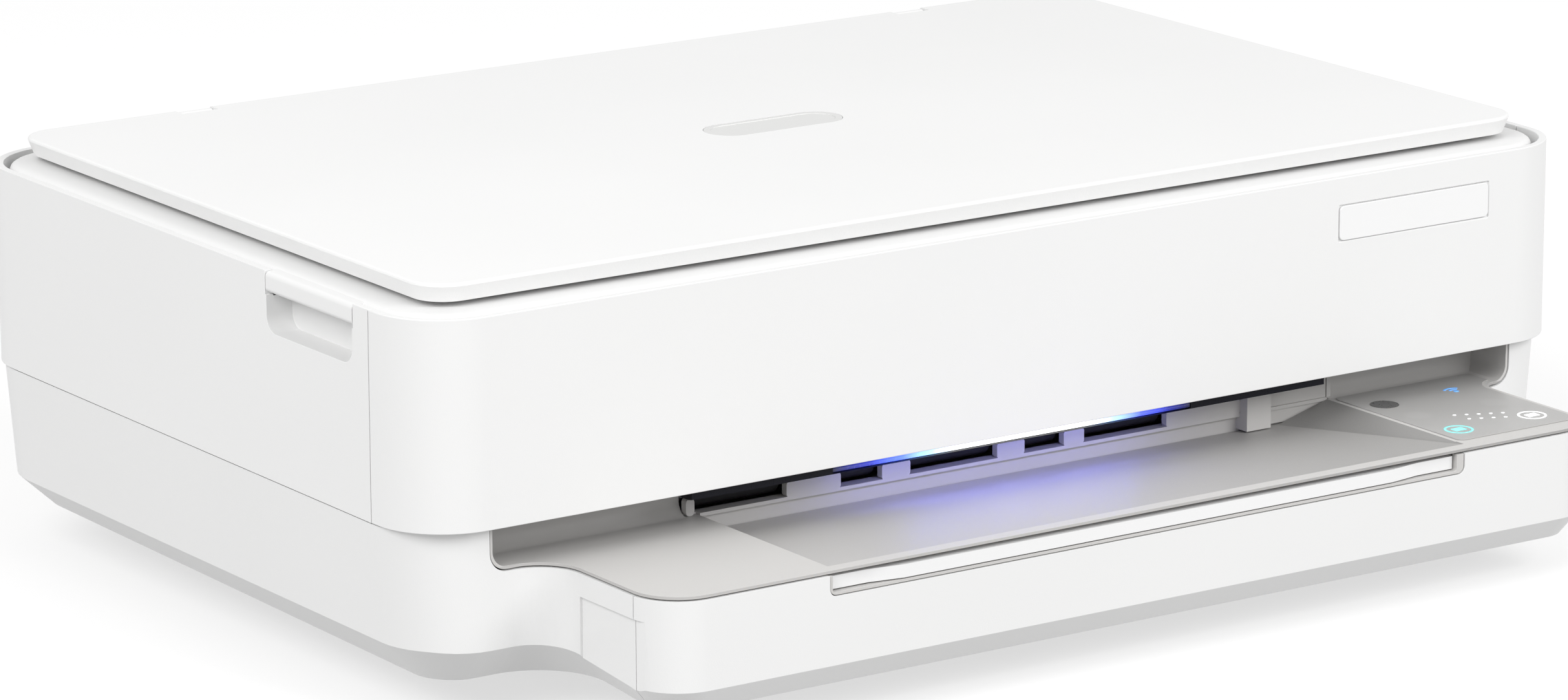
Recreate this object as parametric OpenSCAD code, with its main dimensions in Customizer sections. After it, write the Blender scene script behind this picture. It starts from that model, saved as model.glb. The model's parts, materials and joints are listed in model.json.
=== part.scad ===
// All-in-one inkjet printer: flatbed scanner over a front-loading print engine.
// Millimetres. +X to the viewer's right seen from the front, +Y to the rear, +Z up.

/* [Overall] */
// outside width over the upper body
body_w = 432.5; // [420:0.5:445]
// outside depth, tray block front to rear cover
body_d = 361; // [350:0.5:370]
// outside height, feet to lid top
body_h = 132; // [126:0.5:138]

/* [Upper body] */
// height of the joint between lower body and upper shell
seam_z = 60.7; // [58:0.1:64]
// height of the upper shell's top edge
shell_top_z = 124.3; // [120:0.1:126]
// wall thickness of the outer mouldings
wall_t = 2.5; // [2:0.1:3]
// radius of the front corners seen from above
front_r = 23; // [18:0.5:30]
// radius of the rear corners seen from above
rear_r = 26; // [20:0.5:34]

/* [Lid] */
// lid width
lid_w = 408.4; // [400:0.2:414]
// lid thickness at its edge
lid_t = 5.7; // [5:0.1:8]
// radius of the lid corners
lid_r = 12; // [8:0.5:20]

/* [Deck and tray] */
// height of the output deck
deck_z = 47.8; // [46:0.1:50]
// how far the tray block stands in front of the upper body
tray_out = 54; // [48:0.5:58]
// width of the sunken output channel
channel_w = 239; // [225:0.5:245]
// sideways offset of the paper path from the middle
paper_x = 11.5; // [8:0.5:14]
// tray wall height above the lower body floor
tray_wall = 13; // [11:0.5:14]

/* [Print engine] */
// carriage width
carriage_w = 56; // [50:1:60]
// carriage resting place, middle
carriage_home_x = 148; // [140:1:152]
// feed roller radius
feed_r = 6.5; // [5.5:0.1:7]
// gear module
gear_m = 1; // [0.8:0.1:1.2]

/* [Hidden] */
$fn = 64;
eps = 0.01;
gap = 0.4;
half_w = body_w / 2;
front_y = -body_d / 2;
fascia_y = front_y + tray_out;
back_y = 146;
rear_y = body_d / 2;
low_inset = 2.25;
low_x = half_w - low_inset;
low_front = fascia_y + 4;
low_back = back_y - 2;
floor_z = 13.5;
low_top = seam_z - gap;
block_l = -168.5;
block_r = 183;
block_rad = 16;
flare_r = 14;
flare_rr = 6.2;
draft_in = 1.2;
draft_out = 1.9;
tray_seam_y = -165;
seam_y = -100;
recess_l = -190;
recess_r = 194;
rim_z = deck_z - 1.4;
plate_z = rim_z + 0.5;
deck_back = -105;
upright_t = 1.2;
cove_r = 4.5;
upright_l = -113;
tooth_top = 53.2;
ledge_z = 48.3;
base_x = 165;
base_y0 = -78;
base_y1 = 112;
foot_pos = [[-125, -95], [125, -95], [-150, 92], [150, 92]];
ch_l = paper_x - channel_w / 2;
ch_r = paper_x + channel_w / 2;
slope = 0.08;
slope_a = atan(slope);
floor_back_y = -106.4;
floor_back_z = 42.2;
lid_top = body_h;
lid_bot = lid_top - lid_t;
lid_front = -115;
lid_back = 136;
frame_z = shell_top_z + 0.2;
frame_x = half_w - wall_t - 0.8;
frame_xr = half_w - wall_t - 2.7;
frame_front = fascia_y + wall_t + 0.8;
frame_back = 140.5;
plate_bot = 122.2;
unit_y = 138;
unit_z = 119.5;
lid_y = 134.5;
lid_z = 129;
grip_y0 = -91;
grip_y1 = -42;
grip_z0 = 106;
grip_z1 = 117.6;
win_l = -118;
win_r = 143;
win_z0 = 20;
win_z1 = 88;
chas_l = -177.6;
chas_r = 186;
sheet_t = 1.6;
power_x = -174;
wifi_x = -190;
button_z = 78;
chas_y = -5;
rod_y = -28;
rod_z = 72;
feed_y = -34;
feed_z = 50.5;
exit_z = 53.5;
pinch_z = feed_z + feed_r + 2.7;
feed_n = 44;
idle_n = 28;
exit_n = 34;
pin_n = 12;
train_d = gear_m * (feed_n / 2 + idle_n + exit_n / 2);
exit_y = feed_y - sqrt(train_d * train_d - pow(exit_z - feed_z, 2));
train_a = atan2(exit_z - feed_z, exit_y - feed_y);
motor_a = 20;
motor_d = gear_m * (feed_n + pin_n) / 2;
motor_y = feed_y + motor_d * cos(motor_a);
motor_z = feed_z + motor_d * sin(motor_a);
idle_d = gear_m * (feed_n + idle_n) / 2;
idle_y = feed_y + idle_d * cos(train_a);
idle_z = feed_z + idle_d * sin(train_a);
gear_x0 = -196.4;
gear_x1 = -191.4;
feed_ph = train_a;
idle_ph = mesh_phase(train_a, feed_ph, feed_n, idle_n);
exit_ph = mesh_phase(train_a, idle_ph, idle_n, exit_n);
pin_ph = mesh_phase(motor_a, feed_ph, feed_n, pin_n);
belt_y = -13.2;
belt_r = 4.4;
belt_z0 = 77;
belt_z1 = 83;
pul_x0 = -168;
pul_x1 = 180;
scan_y = 30;
scan_x = 150;
scan_rod_y = 10;
scan_rod_z = 106.2;
bed_x = 160;
bed_y0 = -108;
bed_y1 = 126;
bed_z0 = 101;
bed_z1 = 119.8;
tray_l = paper_x - 123;
tray_r = paper_x + 123;
tray_z = 16.6;
tray_floor = tray_z + 2;
tray_back = 130.3;
guide_w = 218;
rail_z = tray_z + tray_wall + 2;
pinion_y = -114;
rack_z0 = tray_floor + 0.4;
pick_y = 60;
pick_z = 50;
pick_ry = 104;
pick_rub_x = 11;
pick_r = 13;
pick_rz = tray_floor + 0.6 + pick_r;
roll_segs = [[-109, -77.5], [-55.5, -42.5], [-29.8, 0.6], [13.2, 26], [36, 65.8]];
tooth_segs = [[-112.6, -109.6], [-76.4, -56.6], [-41.4, -30.9], [1.7, 12.1], [27.1, 34.9], [66.9, 96]];
white = [0.93, 0.93, 0.92];
grey = [0.78, 0.77, 0.76];
dark = [0.12, 0.12, 0.13];
steel = [0.72, 0.73, 0.75];
black = [0.05, 0.05, 0.05];
rub = [0.16, 0.16, 0.17];

function mesh_phase(th, ph, na, nb) = th + 180 - (ph - th) * na / nb - 180 / nb;
function clamp01(t) = min(1, max(0, t));
function arc(c, r, a0, a1, n) = [for (i = [0:n]) let (a = a0 + (a1 - a0) * i / n)
    [c[0] + r * cos(a), c[1] + r * sin(a)]];
// outline of lower body and tray block, moved inwards by d, its sides moved outwards by s
function low_path(d, s = 0, n = 10) = concat(
    arc([low_x + s - rear_r, low_back - rear_r], rear_r - d, 0, 90, n),
    arc([-low_x - s + rear_r, low_back - rear_r], rear_r - d, 90, 180, n),
    arc([-low_x - s + front_r, low_front + front_r], front_r - d, 180, 270, n),
    arc([block_l - flare_r, low_front - flare_r], flare_r + d, 90, 0, n),
    arc([block_l + block_rad, front_y + block_rad], block_rad - d, 180, 270, n),
    arc([block_r - block_rad, front_y + block_rad], block_rad - d, 270, 360, n),
    arc([block_r + flare_rr, low_front - flare_rr], flare_rr + d, 180, 90, n),
    arc([low_x + s - front_r, low_front + front_r], front_r - d, 270, 360, n));
function box_path(x0, x1, y0, y1, rf, rb, d, n = 10) = concat(
    arc([x1 - rb, y1 - rb], rb - d, 0, 90, n),
    arc([x0 + rb, y1 - rb], rb - d, 90, 180, n),
    arc([x0 + rf, y0 + rf], rf - d, 180, 270, n),
    arc([x1 - rf, y0 + rf], rf - d, 270, 360, n));
function front_t(y) = clamp01((-115 - y) / 50);
function edge_z(y) = 23.9 - 4.7 * front_t(y);
function under_z(y) = 13 + 0.006 * y;
// lower edge of the chamfer: narrower towards the front of the tray block
function under_path(d, lift) = let (a = low_path(0), o = low_path(d, -draft_in), q = low_path(d + 11, -draft_in))
    [for (i = [0:len(a) - 1]) let (w = 1 - 0.48 * front_t(a[i][1]), x = o[i] + (q[i] - o[i]) * w)
        [x[0], x[1], under_z(x[1]) + lift]];

// closed solid through rings of equal length, capped with fans about c at heights zb and zt
module loft(rings, c, zb, zt) {
    n = len(rings[0]);
    m = len(rings);
    pts = concat([for (r = rings) each r], [[c[0], c[1], zb], [c[0], c[1], zt]]);
    side = [for (j = [0:m - 2], i = [0:n - 1], k = [0, 1]) let (a = j * n + i, b = j * n + (i + 1) % n)
        k == 0 ? [a, b + n, b] : [a, a + n, b + n]];
    bot = [for (i = [0:n - 1]) [m * n, i, (i + 1) % n]];
    top = [for (i = [0:n - 1]) [m * n + 1, (m - 1) * n + (i + 1) % n, (m - 1) * n + i]];
    polyhedron(pts, concat(side, bot, top));
}
module bx(x0, x1, y0, y1, z0, z1) {
    translate([x0, y0, z0]) cube([x1 - x0, y1 - y0, z1 - z0]);
}
module rr2(x0, x1, y0, y1, r) {
    translate([x0 + r, y0]) square([x1 - x0 - 2 * r, y1 - y0]);
    translate([x0, y0 + r]) square([x1 - x0, y1 - y0 - 2 * r]);
    for (x = [x0 + r, x1 - r], y = [y0 + r, y1 - r]) translate([x, y]) circle(r);
}
module rb(x0, x1, y0, y1, z0, z1, r) {
    translate([0, 0, z0]) linear_extrude(z1 - z0) rr2(x0, x1, y0, y1, r);
}
module cx(x0, x1, y, z, r) {
    translate([x0, y, z]) rotate([0, 90, 0]) cylinder(h = x1 - x0, r = r);
}
module cy(y0, y1, x, z, r) {
    translate([x, y0, z]) rotate([-90, 0, 0]) cylinder(h = y1 - y0, r = r);
}
module cz(z0, z1, x, y, r) {
    translate([x, y, z0]) cylinder(h = z1 - z0, r = r);
}
// profile drawn as (y, z), pushed along X
module px(x0, x1) {
    translate([x0, 0, 0]) rotate([90, 0, 90]) linear_extrude(x1 - x0) children();
}
module pxr(x0, x1, y0, y1, z0, z1, r) {
    px(x0, x1) rr2(y0, y1, z0, z1, r);
}
// profile drawn as (x, z), pushed along Y
module py(y0, y1) {
    translate([0, y1, 0]) rotate([90, 0, 0]) linear_extrude(y1 - y0) children();
}
module both() {
    children();
    mirror([1, 0, 0]) children();
}
// spur gear outline with straight flanks
module gear2(n, ph, hole) {
    rp = gear_m * n / 2;
    ro = rp + 0.8 * gear_m;
    ri = rp - 1.1 * gear_m;
    difference() {
        union() {
            circle(ri + eps);
            for (i = [0:n - 1]) rotate(ph + i * 360 / n)
                polygon([[ri - 0.3, -0.95 * gear_m], [ri, -0.95 * gear_m], [ro, -0.32 * gear_m],
                    [ro, 0.32 * gear_m], [ri, 0.95 * gear_m], [ri - 0.3, 0.95 * gear_m]]);
        }
        circle(hole);
    }
}
// gear about an X axis, phase counted from +Y towards +Z
module gear_x(x0, x1, y, z, n, ph, hole) {
    translate([x0, y, z]) rotate([90, 0, 90]) linear_extrude(x1 - x0) gear2(n, ph, hole);
}

// ---------------------------------------------------------------- outer body
module low_solid(d, lift, top) {
    loft([under_path(d, lift),
          [for (p = low_path(d, -draft_in)) [p[0], p[1], edge_z(p[1]) + 0.4 * lift]],
          [for (p = low_path(d, draft_out)) [p[0], p[1], top]]], [7, -90], under_z(-90) + lift, top);
}
module recess_cut() {
    py(front_y - 5, deck_back + 2.4) rr2(recess_l, recess_r, rim_z, low_top + 20, 6);
}
// finger recess in the sides of the tray block, running on into the tray front
module finger_cut() {
    bx(block_l - 1, block_l + 0.9, front_y + 2, -137, 5, 39.5);
    bx(block_r - 0.9, block_r + 1, front_y + 2, -137, 5, 39.5);
}
module lower_body() {
    color(white) {
        difference() {
            union() {
                low_solid(0, 0, low_top);
                difference() {
                    rb(-base_x, base_x, base_y0, base_y1, 3, floor_z + 1, 18);
                    rb(-base_x + wall_t, base_x - wall_t, base_y0 + wall_t, base_y1 - wall_t, 2, 12.3, 18 - wall_t);
                }
                for (f = foot_pos) cz(3, floor_z + 1, f[0], f[1], 11);
            }
            low_solid(wall_t, wall_t, low_top + 5);
            recess_cut();
            bx(-230, 230, front_y - 5, tray_seam_y, -5, 80);
            bx(tray_l - 2, tray_r + 2, front_y, -150, tray_z - 0.5, rim_z + 1);
            bx(win_l, win_r, low_back - 6, low_back + 5, win_z0, low_top + 5);
            bx(168, 188, low_back - 6, low_back + 5, 31, 47);
            // finger recess in the side of the tray block
            finger_cut();
            for (f = foot_pos) cz(0, 4.5, f[0], f[1], 8.1);
        }
        for (x = [-192, -138], y = [34, 118]) cz(floor_z + 1, 65.6, x, y, 3.5);
        for (x = [-170, 180], y = [-96, -14]) difference() {
            cz(floor_z + 1, 31.6, x, y, 4.5);
            cz(20, 40, x, y, 1.5);
        }
    }
}
module feet() {
    color(rub) for (f = foot_pos) cz(0, 4.4, f[0], f[1], 8);
}
module shell_band(r, z0, z1) {
    difference() {
        rb(-half_w, half_w, fascia_y, back_y, z0, z1, r);
        rb(-half_w + wall_t, half_w - wall_t, fascia_y + wall_t, back_y - wall_t, z0 - 1, z1 + 1, r - wall_t);
    }
}
module side_shell() {
    color(white) difference() {
        union() {
            intersection() {
                shell_band(rear_r, seam_z, shell_top_z);
                bx(-300, 300, seam_y + 0.15, 300, 0, 200);
            }
            both() px(-half_w + 0.5, -half_w + 11) rr2(grip_y0 - 2.2, grip_y1 + 2.2, grip_z0 - 2.2, grip_z1 - 0.6, 4);
            // ledge the front panel clips on to
            both() bx(-half_w + wall_t - 0.3, -half_w + wall_t + 2, seam_y - 3.4, seam_y + 6, 66, 100);
        }
        both() {
            px(-half_w - 1, -half_w + 8.8) rr2(grip_y0, grip_y1, grip_z0, grip_z1 + 20, 5);
            bx(-half_w - 1, -half_w + 20, grip_y0 - 0.6, grip_y1 + 0.6, grip_z1 - 0.6, 140);
            bx(-half_w - 1, -half_w + wall_t + 0.2, seam_y - 9, seam_y + 0.15, 50, 140);
        }
        bx(win_l, win_r, back_y - 6, back_y + 5, 50, win_z1);
        cy(back_y - 6, back_y + 5, power_x, button_z, 5.3);
        cy(back_y - 6, back_y + 5, wifi_x, button_z, 4.3);
        bx(-166.3, -150.7, back_y - 6, back_y + 5, 66.9, 80.3);
    }
}
module front_fascia() {
    color(white) difference() {
        intersection() {
            shell_band(front_r, seam_z, shell_top_z);
            bx(-300, 300, -300, seam_y - 0.15, 0, 200);
        }
        // shallow seat for the name plate
        bx(119.8, 180.4, fascia_y - 1, fascia_y + 0.6, 103.8, 115.4);
    }
}
module name_plate() {
    color(white) py(fascia_y - 0.25, fascia_y + 0.55) rr2(120.1, 180.1, 104.1, 115.1, 1.6);
}
module rear_cover() {
    color(white) difference() {
        pxr(-126, 151, 110, rear_y, 12, 94, 25);
        pxr(-126 + wall_t, 151 - wall_t, 110, rear_y - wall_t, 12 + wall_t, 94 - wall_t, 25 - wall_t);
        bx(-200, 200, 90, back_y + 0.3, 0, 120);
    }
}
module turn_guide() {
    color(dark) {
        difference() {
            cx(win_l + 0.8, win_r - 0.8, 143, 44, 16);
            cx(win_l, win_r, 143, 44, 13.5);
            bx(-200, 200, 100, 143, 0, 100);
        }
        for (x = [win_l + 0.8, -20, 80, win_r - 2.8]) difference() {
            cx(x, x + 2, 143, 44, 15);
            bx(-200, 200, 100, 143, 0, 100);
        }
        for (x = [-123.3, 146.4]) bx(x, x + 2, 147, 156, 36, 52);
        for (x = [-122, 141.5]) bx(x, x + 5.5, 150, 154, 42, 46);
    }
}

// ---------------------------------------------------------------- deck, panel, exit
function ch_z(y) = floor_back_z - slope * (y - floor_back_y);
module deck_plan(d) {
    intersection() {
        polygon(low_path(d));
        translate([recess_l + gap, front_y - 5]) square([recess_r - recess_l - 2 * gap, deck_back - front_y + 5]);
    }
}
module output_deck() {
    color(grey) {
        difference() {
            union() {
                intersection() {
                    translate([0, 0, plate_z]) linear_extrude(deck_z - plate_z) deck_plan(0.7);
                    py(front_y - 5, deck_back + 5) rr2(recess_l + gap, recess_r - gap, plate_z, low_top + 20, 5.5);
                }
                translate([0, 0, 45]) linear_extrude(plate_z - 45 + 0.1) intersection() {
                    deck_plan(3.1);
                    translate([block_l, front_y + 4.4]) square([block_r - block_l, 60]);
                }
            }
            px(ch_l, ch_r) polygon([[front_y + 5, 60], [front_y + 5, ch_z(front_y + 5)],
                [deck_back + 20, ch_z(deck_back + 20)], [deck_back + 20, 60]]);
            bx(upright_l, ch_r + 0.3, floor_back_y - 0.3, deck_back + 5, 40, 70);
        }
        // sloping floor and side walls of the channel
        px(ch_l - 1.5, ch_r + 1.5) polygon([[-176, ch_z(-176) - 2.2], [floor_back_y - 0.3, floor_back_z - 2.2],
            [floor_back_y - 0.3, floor_back_z], [-172, ch_z(-172)], [-176, ch_z(-172)]]);
        for (x = [ch_l - 1.6, ch_r]) px(x, x + 1.6) polygon([[-172, 46], [-172, 45],
            [floor_back_y - 0.3, floor_back_z - 2.2], [floor_back_y - 0.3, deck_z], [-172, deck_z]]);
        // leaning right bank of the channel
        intersection() {
            py(-172, floor_back_y - 2.3) polygon([[ch_r + 1, deck_z], [ch_r, deck_z], [ch_r - 25, 41], [ch_r + 1, 41]]);
            px(ch_r - 30, ch_r + 1) polygon([[-172, ch_z(-172) - 1], [-100, ch_z(-100) - 1], [-100, 50], [-172, 50]]);
        }
        bx(ch_r + 0.3, ch_r + 1.9, floor_back_y - 1.2, deck_back + 0.2, plate_z, low_top);
        // upright back wall with its cove and rounded ends, on each side of the exit
        for (s = [[recess_l, upright_l], [ch_r + 0.3, recess_r]]) intersection() {
            union() {
                bx(s[0], s[1], deck_back, deck_back + upright_t, plate_z, low_top);
                px(s[0], s[1]) difference() {
                    translate([deck_back - cove_r, deck_z - 0.5]) square([cove_r + 0.2, cove_r + 0.5]);
                    translate([deck_back - cove_r, deck_z + cove_r]) circle(cove_r);
                }
                py(low_front + 0.4, deck_back + upright_t) difference() {
                    rr2(recess_l, recess_r, rim_z, low_top + 20, 5.6);
                    rr2(recess_l + gap + 0.8, recess_r - gap - 0.8, deck_z - 0.1, low_top + 20, 5);
                }
            }
            py(-130, -100) rr2(recess_l + gap, recess_r - gap, plate_z, low_top + 20, 5.5);
            bx(s[0], s[1], -130, -100, 40, low_top);
        }
    }
}
module exit_wall() {
    color(grey) {
        bx(upright_l + 0.2, ch_r - 0.1, floor_back_y, floor_back_y + 2.2, 40.5, ledge_z);
        bx(ch_l + 0.4, ch_r - 0.1, floor_back_y - 2, floor_back_y + 0.1, ledge_z - 1.1, ledge_z);
        for (s = tooth_segs) py(floor_back_y - 2, floor_back_y + 0.5) rr2(s[0], s[1], ledge_z - 0.4, tooth_top, 1.3);
        bx(96, 105.5, floor_back_y - 5.6, floor_back_y + 0.5, 43, 54);
        bx(105.4, ch_r - 0.1, floor_back_y - 1.2, floor_back_y + 0.5, 42.7, 57.2);
    }
}
module exit_hood() {
    color(dark) difference() {
        union() {
            px(-120.8, 117) polygon([[-123.9, 57.9], [-122, 57.5], [-110, 57.9], [-110, 60.6], [-121.5, 60.6],
                [-121.5, 66], [-123.9, 66]]);
            px(upright_l + 0.3, 117) polygon([[-110.1, 57.9], [-104.5, 59], [-104.5, 60.6], [-110.1, 60.6]]);
        }
        bx(-70.3, 64.3, -124, -121.3, 58, 60);
    }
}
module light_bar() {
    color([0.6, 0.85, 1]) bx(-70, 64, -123.8, -121.6, 58.5, 59.9);
}
module control_panel() {
    color(grey) translate([0, 0, deck_z]) linear_extrude(0.35) intersection() {
        deck_plan(2.6);
        rr2(ch_r + 1.2, recess_r - 6.5, -172.5, deck_back - cove_r - 0.4, 2.5);
    }
}
module panel_icons() {
    color([0.9, 0.95, 1]) translate([0, 0, deck_z + 0.35]) linear_extrude(0.12) {
        translate([140.3, -125.6]) circle(4.6);
        for (c = [[170, -162], [140, -162.3]]) translate(c) difference() {
            circle(4.7);
            circle(3.9);
        }
        for (c = [[170, -162], [140, -162.3]]) translate(c) rr2(-2.2, 2.2, -1.6, 1.6, 0.4);
        for (i = [0:4]) translate([150 + 3.6 * i, -148.2 - 1.6 * i]) circle(0.6);
        for (i = [0:3]) translate([151 + 3.6 * i, -154.2 - 1.6 * i]) circle(0.6);
        translate([169.6, -125.6]) circle(0.9);
        for (r = [2.4, 4.2]) translate([169.6, -125.6]) intersection() {
            difference() {
                circle(r);
                circle(r - 0.8);
            }
            polygon([[0, 0], [8, 8], [-8, 8]]);
        }
    }
}
// ---------------------------------------------------------------- input tray
module tray_front() {
    color(white) difference() {
        intersection() {
            low_solid(0, 0, rim_z);
            bx(-230, 230, front_y - 5, tray_seam_y - 0.3, 0, 80);
        }
        low_solid(wall_t, wall_t, 80);
        finger_cut();
        py(front_y - 5, front_y + 12) rr2(ch_l - 2.5, ch_r - 3.5, 40, 70, 2.5);
    }
    color(white) bx(tray_l + 1, tray_r - 1, -169, tray_seam_y - 0.3, 14.6, 31.4);
}
module tray_body() {
    color(grey) {
        difference() {
            bx(tray_l, tray_r, tray_seam_y, tray_back, tray_z, tray_z + tray_wall + 2);
            bx(tray_l + 2, tray_r - 2, tray_seam_y + 2, tray_back + 1, tray_floor, 60);
            cz(10, 30, paper_x, pinion_y, 1.6);
            bx(pick_rub_x - 9, pick_rub_x + 9, 94, 114, tray_floor - 0.6, 30);
        }
        bx(paper_x - 12, paper_x + 12, tray_back - 2, tray_back, tray_floor - 0.2, tray_floor + 0.1);
    }
}
module tray_cover() {
    color(grey) difference() {
        union() {
            px(ch_l - 1.8, ch_r - 4.2) polygon([[-176.1, 38.8], [-130, ch_z(-130) - 8.8], [-130, ch_z(-130) - 6.9],
                [-176.1, ch_z(-176.1) - 6.9]]);
            // risers that stand on the tray's side walls
            for (x = [ch_l - 1.8, ch_r - 6.2]) px(x, x + 2) polygon([[-172, rail_z], [-132, rail_z], [-132, 36.5],
                [-172, 39.2]]);
            bx(tray_l, ch_l, -172, -132, rail_z, rail_z + 1.8);
            bx(ch_r - 6.2, tray_r, -172, -132, rail_z, rail_z + 1.8);
            for (x = [ch_l - 1.8, ch_r - 6.2]) px(x, x + 2) polygon([[-176.1, 39], [-130, ch_z(-130) - 8.6],
                [-130, ch_z(-130) - 4.2], [-176.1, ch_z(-176.1) - 4.2]]);
            bx(ch_l - 1.8, ch_r - 4.2, -178, -176, 36, 40.6);
            py(front_y + 0.35, -177.7) intersection() {
                difference() {
                    rr2(ch_l - 2.2, ch_r - 3.8, 40.3, 60, 2.2);
                    rr2(ch_l - 1.3, ch_r - 6.5, 41.2, 70, 0.8);
                }
                translate([ch_l - 5, 30]) square([channel_w + 10, rim_z - 30.1]);
            }
        }
    }
}
module output_extender() {
    color(white) difference() {
        union() {
            translate([0, -177.6, ch_z(-177.6) - 4.6]) rotate([-slope_a, 0, 0]) bx(ch_l + 4, ch_r - 10, 0, 68, -1.6, 0);
            bx(ch_l + 5, ch_r - 11, -178, -175.3, 41.9, 43.8);
            translate([0, 0, 41.6]) linear_extrude(4) polygon([[ch_l - 0.8, -178.2], [ch_l + 12, -178.2],
                [ch_l + 24, -180.2], [ch_r - 32, -180.2], [ch_r - 21, -178.4], [ch_r - 7, -178.4], [ch_r - 7, -176.4],
                [ch_l - 0.8, -176.4]]);
        }
        for (x = [-60, 10, 80]) translate([x, -177.6, ch_z(-177.6) - 4.6]) rotate([-slope_a, 0, 0])
            rb(-20, 20, 16, 56, -3, 2, 6);
    }
}
module rack2(x0, x1) {
    // teeth point towards +Y, gap centred on paper_x
    p = PI * gear_m;
    translate([x0, -9 * gear_m]) square([x1 - x0, 2.9 * gear_m]);
    for (i = [-20:20]) let (c = paper_x + (i + 0.5) * p) if (c - 1 > x0 && c + 1 < x1)
        translate([c, -6.1 * gear_m - eps]) polygon([[-1.15, 0], [-0.38, 1.8], [0.38, 1.8], [1.15, 0]]);
}
module guide_left() {
    color(grey) {
        bx(paper_x - guide_w / 2 - 2, paper_x - guide_w / 2, -150, -92, rack_z0, rack_z0 + 10);
        bx(paper_x - guide_w / 2 - 2, paper_x - guide_w / 2 + 8, -123, -120.4, rack_z0, rack_z0 + 2);
        translate([0, pinion_y, rack_z0]) linear_extrude(2) rack2(paper_x - guide_w / 2 - 2, paper_x + 6);
    }
}
module guide_right() {
    color(grey) translate([2 * paper_x, 2 * pinion_y, 0]) rotate([0, 0, 180]) {
        bx(paper_x - guide_w / 2 - 2, paper_x - guide_w / 2, -136, -78, rack_z0, rack_z0 + 10);
        translate([0, pinion_y, rack_z0]) linear_extrude(2) rack2(paper_x - guide_w / 2 - 2, paper_x + 6);
    }
}
module guide_pinion() {
    color(grey) {
        translate([paper_x, pinion_y, rack_z0]) linear_extrude(2) gear2(10, 90, 0.4);
        cz(tray_z + 0.2, rack_z0 + 2, paper_x, pinion_y, 1.55);
    }
}

// ---------------------------------------------------------------- scanner unit
module frame_solid(rings) {
    loft([for (r = rings) [for (p = box_path(-frame_x, frame_xr, frame_front, frame_back, front_r - 3, rear_r - 3, r[0]))
        [p[0], p[1], r[1]]]], [0, 0], rings[0][1], rings[len(rings) - 1][1]);
}
module scanner_frame() {
    color(white) lid_posts();
    color(white) difference() {
        union() {
            difference() {
                frame_solid([[0.6, 117.2], [0, 117.8], [0, 122.6], [0.5, 123.6], [1.3, 124.15], [2.6, 124.4], [5, frame_z]]);
                frame_solid([[2.6, 110], [2.6, plate_bot]]);
            }
            both() {
                py(grip_y0 - 0.2, grip_y1 + 0.2) rr2(-half_w, -frame_x + 4, grip_z1 + 0.1, 124.1, 1.6);
                for (y = [-104, 122]) cz(bed_z1, plate_bot + 1, -164, y, 3);
                for (x = [-184, -174]) intersection() {
                    cx(x, x + 7, unit_y, unit_z, 2.4);
                    bx(-300, 300, 0, frame_back, 100, 124);
                }
            }
        }
        rb(-151.5, 151.5, -100, 121.5, 100, 140, 3);
        both() {
            cx(-190, -160, unit_y, unit_z, 1.56);
            cx(-176.9, -174.1, unit_y, unit_z, 3.2);
            bx(-176.9, -174.1, unit_y - 6, 150, 110, unit_z + 2.6);
            translate([-164, 0, 0]) for (y = [-104, 122]) cz(110, 121.8, 0, y, 1.2);
        }
    }
}
module unit_hinges() {
    color(steel) both() {
        cx(-184.5, -166.5, unit_y, unit_z, 1.5);
        cx(-176.5, -174.5, unit_y, unit_z, 2.3);
        bx(-176.5, -174.5, unit_y - 2.3, unit_y + 2.3, 96, unit_z);
        bx(-176.5, -174.5, unit_y - 2.3, 143.4, 90, 112);
        bx(-184, -166, 141.4, 143.4, 90, 104);
    }
}
module scanner_glass() {
    color([0.75, 0.85, 0.85, 0.35]) bx(-156, 156, -104.5, 123.5, bed_z1 + 0.05, plate_bot - 0.05);
}
module scan_bed() {
    color(dark) difference() {
        union() {
            bx(-bed_x, bed_x, bed_y0, bed_y1, bed_z0, bed_z1);
            both() for (y = [-104, 122]) bx(-168, -159, y - 4, y + 4, bed_z1 - 2, bed_z1);
        }
        bx(-bed_x + 2, bed_x - 2, bed_y0 + 2, bed_y1 - 2, bed_z0 + 2, 140);
        both() for (y = [-104, 122]) cz(110, 130, -164, y, 1.2);
        cz(90, 110, -scan_x, scan_y, 3);
    }
    color(dark) both() difference() {
        bx(-bed_x + 1, -bed_x + 4, scan_rod_y - 5, scan_rod_y + 5, bed_z0 + 1, scan_rod_z + 4);
        cx(-bed_x + 2, bed_x, scan_rod_y, scan_rod_z, 3.05);
    }
    color(dark) cz(bed_z0 + 1, 107.2, scan_x, scan_y, 1);
}
module scan_rod() {
    color(steel) cx(-bed_x + 2.2, bed_x - 2.2, scan_rod_y, scan_rod_z, 3);
}
module scan_motor() {
    color(steel) {
        cz(86, bed_z0 - 0.05, -scan_x, scan_y, 11);
        cz(86, 107, -scan_x, scan_y, 1);
    }
}
module belt_loop(x0, x1, y, r, z0, z1) {
    difference() {
        union() {
            bx(x0, x1, y - r - 0.5, y + r + 0.5, z0, z1);
            for (x = [x0, x1]) cz(z0, z1, x, y, r + 0.5);
        }
        bx(x0, x1, y - r + 0.3, y + r - 0.3, z0 - 1, z1 + 1);
        for (x = [x0, x1]) cz(z0 - 1, z1 + 1, x, y, r - 0.3);
    }
}
module scan_belt() {
    color(rub) belt_loop(-scan_x, scan_x, scan_y, belt_r, 103.6, 106.8);
}
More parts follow.
